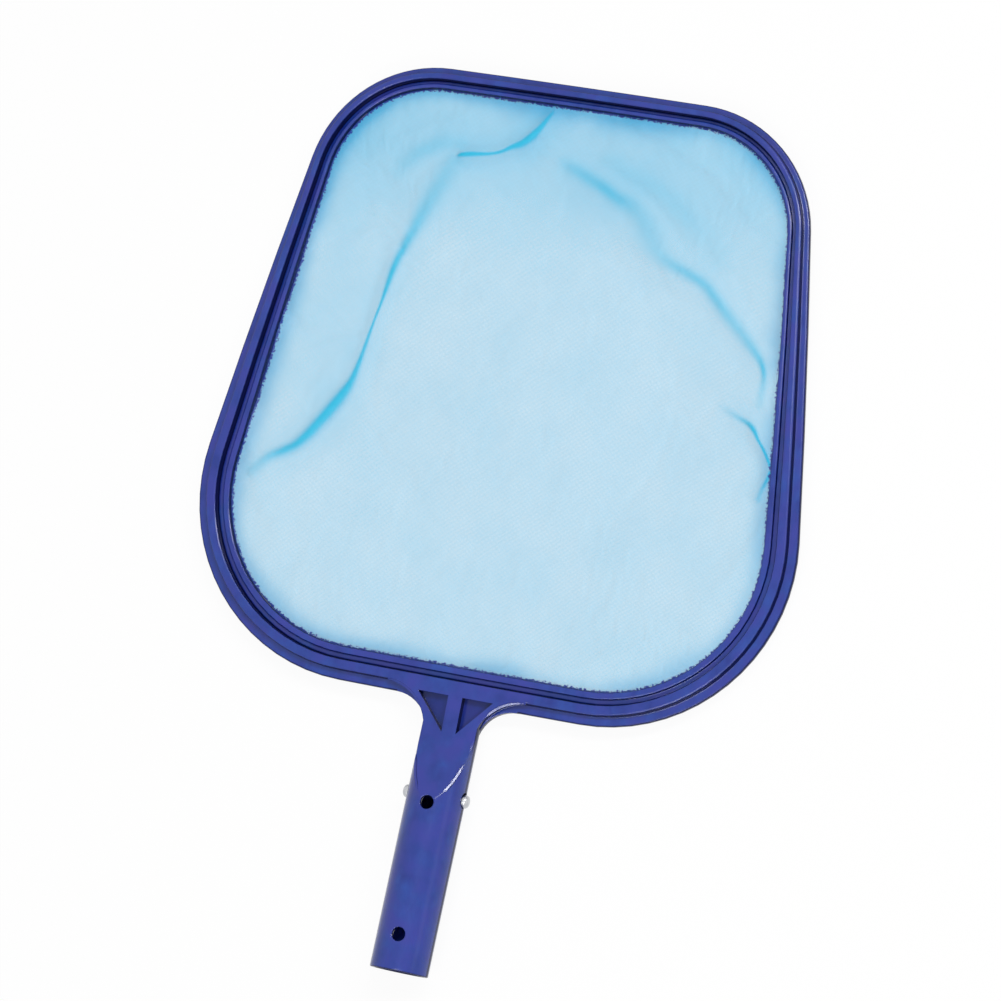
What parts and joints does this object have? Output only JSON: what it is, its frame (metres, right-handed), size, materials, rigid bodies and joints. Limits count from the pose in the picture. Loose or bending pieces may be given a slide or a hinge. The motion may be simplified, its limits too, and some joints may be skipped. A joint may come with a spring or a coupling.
{
  "type": "leaf skimmer net",
  "caption": "Flat leaf net for pools and spas: a moulded rim with a clamped net and a pole socket that holds a spring clip with snap buttons.",
  "frame": {"origin": "centre of the pole socket's open end", "axes": "+Y from the socket towards the net, +X to the right across the net, +Z out of the front, the side that meets the leaves; the rim lies parallel to XY and the socket leans 3.5 degrees forward of it"},
  "size_m": [0.3036, 0.4391, 0.0343],
  "materials": {
    "frame_plastic": "satin",
    "net_mesh": "fine woven mesh",
    "spring_steel": "satin",
    "button_metal": "polished"
  },
  "bodies": {
    "skimmer": {"frame": "frame_plastic", "clamp_ring": "frame_plastic", "net": "net_mesh", "clip_bend": "spring_steel"},
    "left_leg": {"clip_leg_left": "spring_steel", "button_left": "button_metal"},
    "right_leg": {"clip_leg_right": "spring_steel", "button_right": "button_metal"}
  },
  "joints": [
    {"name": "left_button_press", "type": "hinge", "parent": "skimmer", "child": "left_leg", "pos_m": [-0.00356, 0.03342, -0.00204], "axis": [0, -0.061, -0.9981], "range_deg": [0, 3], "stiffness_Nm_per_rad": 8, "springref_deg": -1.15},
    {"name": "right_button_press", "type": "hinge", "parent": "skimmer", "child": "right_leg", "pos_m": [0.00356, 0.03342, -0.00204], "axis": [0, 0.061, 0.9981], "range_deg": [0, 3], "stiffness_Nm_per_rad": 8, "springref_deg": -1.15}
  ]
}
